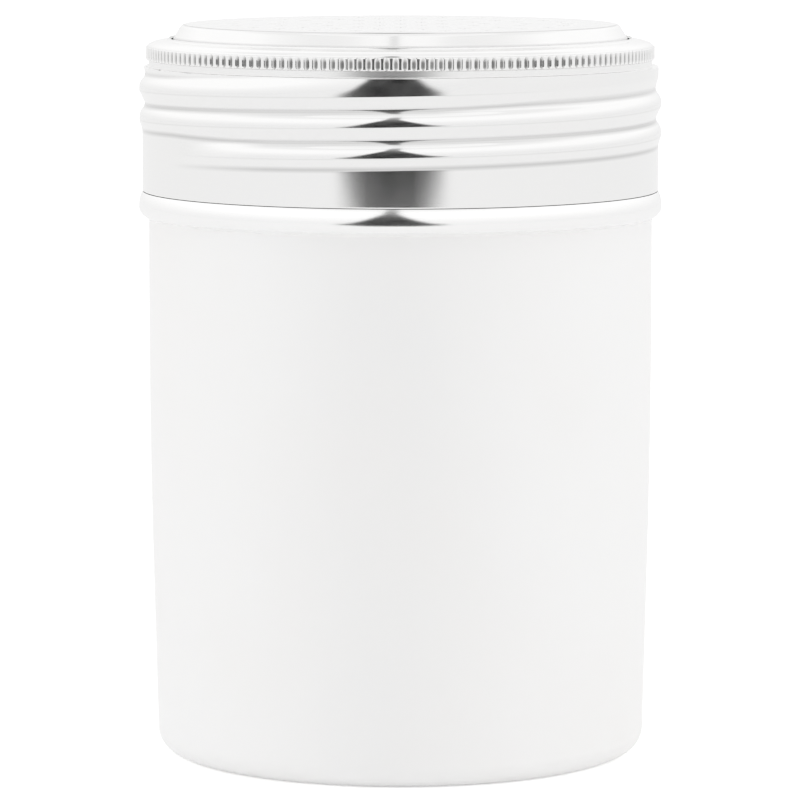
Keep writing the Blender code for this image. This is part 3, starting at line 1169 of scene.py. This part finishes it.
@dataclass
class Studio:
    """Camera, floor, surround and lamp, and a dark opening in front that bright metal shows as a patch."""

    camera_distance: float = 0.6762
    camera_height: float = 0.1261
    camera_shift: float = -0.00005
    camera_down: float = math.radians(6.656)
    sensor: float = 0.036
    pixels: float = 800.0
    focal_pixels: float = 5033.0
    floor_size: float = 6.0
    floor_grey: float = 0.86
    floor_lift: float = 0.38
    floor_lift_in_metal: float = 0.07
    floor_drop: float = 0.00005
    world_level: float = 1.07
    world_white: float = 1.02
    card_distance: float = 0.72
    card_eye: float = 0.08
    card_centre: float = -0.056
    card_edge: float = 1.2
    card_fade: float = 0.32
    card_grain: float = 9.0
    card_shades: Place = (0.02, 0.1)
    card_pale: float = 0.24
    lamp_size: float = 1.2
    lamp_power: float = 0.4
    lamp_place: Colour = (0.0, -0.1, 1.2)

    def build(self) -> None:
        """Builds the whole studio."""
        self.camera()
        self.floor()
        self.surround()
        self.opening()
        self.softbox()
        bpy.context.scene.view_settings.view_transform = "Standard"

    def camera(self) -> None:
        """The camera at the photograph's place and angle."""
        data = bpy.data.cameras.new("camera")
        data.sensor_width = self.sensor * 1000
        data.lens = self.focal_pixels / self.pixels * self.sensor * 1000
        data.clip_start = 0.01
        data.clip_end = 20
        made = bpy.data.objects.new("camera", data)
        made.location = (self.camera_shift, -self.camera_distance, self.camera_height)
        made.rotation_euler = (math.radians(90) - self.camera_down, 0, 0)
        bpy.context.scene.collection.objects.link(made)
        bpy.context.scene.camera = made

    def floor(self) -> None:
        """A pale floor that keeps the shadow and is white where nothing shades it."""
        mesh = bmesh.new()
        bmesh.ops.create_grid(mesh, x_segments=2, y_segments=2, size=self.floor_size / 2)
        material, graph = new_material("floor")
        straight = graph.math("MAXIMUM", graph.ray("Is Camera Ray"), graph.ray("Is Transmission Ray"))
        in_metal = graph.mix(graph.ray("Is Glossy Ray"), 0.0, self.floor_lift_in_metal)
        glow = graph.mix(straight, in_metal, self.floor_lift)
        surface = {"Base Color": (self.floor_grey, self.floor_grey, self.floor_grey, 1), "Roughness": 0.9,
                   "Specular IOR Level": 0.0, "Emission Color": glow, "Emission Strength": 1.0}
        shader = graph.node("ShaderNodeBsdfPrincipled", {}, surface)
        graph.node("ShaderNodeOutputMaterial", {}, {"Surface": shader})
        floor = Sheet.add("floor", mesh, material)
        floor.location.z = -self.floor_drop

    def surround(self) -> None:
        """The white surround: plain white to the camera, and for the metal a little brighter overhead."""
        world = bpy.data.worlds.new("surround")
        bpy.context.scene.world = world
        world.use_nodes = True
        graph = Graph(world.node_tree)
        direction = graph.node("ShaderNodeTexCoord", {}, {}, "Generated")
        split = graph.node("ShaderNodeSeparateXYZ", {}, {0: direction})
        height = Value(graph, split.socket.node.outputs["Z"])
        stops = [(0.0, 0.85), (0.35, 0.98), (0.66, 0.98), (0.8, 0.87), (0.9, 0.86), (0.95, 0.78), (1.0, 0.78)]
        bright = graph.node("ShaderNodeValToRGB", {"stops": stops}, {0: height}) * self.world_level
        shown = graph.mix(graph.ray("Is Camera Ray"), bright, self.world_white)
        back = graph.node("ShaderNodeBackground", {}, {"Color": shown, "Strength": 1.0})
        graph.node("ShaderNodeOutputWorld", {}, {"Surface": back})

    def opening(self) -> None:
        """The dark opening that the camera looks through, wide below and a slit above, unseen by the camera."""
        outline = [(-5.7, 9.0), (-4.9, 15.5), (-4.45, 18.0), (-4.0, 21.0), (-3.4, 23.0), (-2.5, 21.5),
                   (-0.8, 17.5), (1.3, 14.6), (8.1, 10.8), (17.7, 7.3), (29.5, 4.2), (36.0, 3.2), (48.0, 3.0),
                   (60.0, 3.0), (74.0, 3.0)]
        across = [index / 10 for index in range(-14, 15)]
        mesh = bmesh.new()
        cover = mesh.verts.layers.float.new("cover")
        pale = mesh.verts.layers.float.new("pale")
        rows = []
        for elevation, half in outline:
            height = self.card_eye + self.card_distance * math.tan(math.radians(elevation))
            width = self.card_distance * math.tan(math.radians(half))
            row = []
            for share in across:
                vertex = mesh.verts.new((self.card_centre + share * width, 0, height))
                vertex[cover] = eased((self.card_edge - abs(share)) / self.card_fade)
                vertex[pale] = held((elevation - 12) / 36) + 2.4 * held((elevation - 46) / 20)
                row.append(vertex)
            rows.append(row)
        for below, above in zip(rows, rows[1:]):
            for index in range(len(across) - 1):
                mesh.faces.new((below[index], below[index + 1], above[index + 1], above[index]))
        material, graph = new_material("opening")
        blots = graph.noise(graph.node("ShaderNodeTexCoord", {}, {}, "Object"), self.card_grain)
        shade = graph.remap(blots, 0.35, 0.7, *self.card_shades)
        pales = graph.node("ShaderNodeAttribute", {"attribute_name": "pale"}, {}, "Fac")
        covers = graph.node("ShaderNodeAttribute", {"attribute_name": "cover"}, {}, "Fac")
        level = graph.mix(shade + pales * self.card_pale, 0.0, 1.0)
        glow = graph.node("ShaderNodeEmission", {}, {"Color": level, "Strength": 1.0})
        clear = graph.node("ShaderNodeBsdfTransparent", {}, {})
        mixed = graph.node("ShaderNodeMixShader", {}, {0: covers, 1: clear, 2: glow})
        graph.node("ShaderNodeOutputMaterial", {}, {"Surface": mixed})
        card = Sheet.add("opening", mesh, material)
        card.location.y = -self.card_distance
        card.visible_camera = False
        card.visible_diffuse = False
        card.visible_shadow = False

    def softbox(self) -> None:
        """A large soft lamp overhead."""
        data = bpy.data.lights.new("softbox", "AREA")
        data.shape = "DISK"
        data.size = self.lamp_size
        data.energy = self.lamp_power
        lamp = bpy.data.objects.new("softbox", data)
        lamp.location = self.lamp_place
        bpy.context.scene.collection.objects.link(lamp)


def main() -> None:
    """Builds the pieces in order and reports each."""
    logging.basicConfig(level=logging.INFO)
    sizes = Sizes()
    lattice = sizes.lattice(ScrewRing.columns)
    ledge = sizes.ledge(lattice)
    end_turn = sizes.start_turn - sizes.thread_turns
    # Painted shade along the creases and crests of the ring's thread.
    thread_shade = ThreadPaintedShade(lattice.base, lattice.pitch, sizes.start_turn, end_turn, sizes.fade_turn)
    wall, top = Grain.ROUND_THE_WALL, Grain.ROUND_THE_TOP
    satin = SteelFinish("satin_steel", SATIN_STEEL, 0.74, wall, line_depth=0.0000015, bright_from=0.0722)
    # The ring: painted shade where its wall lies deep below the knurled band, such as in the thread's creases,
    # and along the thread.
    polished = SteelFinish("polished_steel", STEEL, 0.1, wall, line_depth=0.0000004, smear=0.02, painted_shade=0.4,
                           shade_radii=(0.0341, 0.0344), shade_heights=(0.0915, 0.0921), shade_fade=0.0,
                           matt_heights=(ledge + 0.00002, ledge + ScrewRing.recess_height), thread_shade=thread_shade)
    # The knurled band: painted shade in its flutes, weaker towards the top.
    knurled = SteelFinish("knurled_steel", STEEL, 0.14, wall, line_depth=0.0000004, smear=0.02, painted_shade=0.72,
                          shade_radii=(0.03383, 0.03407))
    # The screen: painted shade on the crown's wall up to the top of the ring's collar, where the two meet, and
    # a painted dark line of shade round the flat top's rim.
    punched = SteelFinish("punched_steel", STEEL, 0.12, top, line_depth=0.0000005, smear=0.03, painted_shade=0.2,
                          shade_radii=(0.031, 0.0312), shade_fade=0.0,
                          shade_heights=(sizes.ring_high, sizes.ring_high + 0.00025),
                          rim=(ShakerScreen.flat_radius - 0.00005, sizes.crown_top - 0.00014))
    Studio().build()
    pieces = [Cup(sizes).build(satin.material())]
    pieces += ScrewRing(sizes).build(polished.material(), knurled.material())
    pieces.append(ShakerScreen(sizes).build(punched.material()))
    for piece in pieces:
        log.info("%s: %d faces", piece.name, len(piece.data.polygons))


if __name__ == "__main__":
    main()
